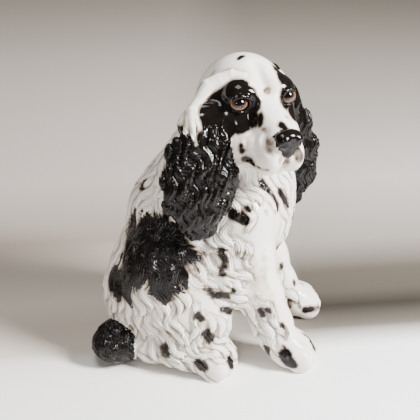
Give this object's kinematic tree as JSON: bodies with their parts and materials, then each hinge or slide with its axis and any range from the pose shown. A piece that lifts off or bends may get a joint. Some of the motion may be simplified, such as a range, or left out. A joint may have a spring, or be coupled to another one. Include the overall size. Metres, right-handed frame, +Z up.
{
  "type": "ceramic dog figurine",
  "caption": "Seated long-eared spaniel figure in glazed black-and-white earthenware, cast hollow, resting on flat soles.",
  "frame": {"origin": "middle of the figure's outline in X and Y, on the surface it stands on", "axes": "+Z up, body facing -Y, the dog's left towards +X, head turned to the dog's right (-X)"},
  "size_m": [0.1878, 0.2578, 0.33],
  "materials": {
    "white_glaze": "glossy clear glaze over a warm white body",
    "black_glaze": "glossy black underglaze decoration",
    "amber_glaze": "glossy painted amber-brown"
  },
  "bodies": {
    "root": {"torso": "white_glaze", "head": "white_glaze", "nose": "black_glaze", "right_eye": "amber_glaze", "left_eye": "amber_glaze", "right_ear": "black_glaze", "left_ear": "black_glaze", "right_foreleg": "white_glaze", "left_foreleg": "white_glaze", "right_hind_leg": "white_glaze", "left_hind_leg": "white_glaze", "tail": "black_glaze"}
  },
  "joints": []
}
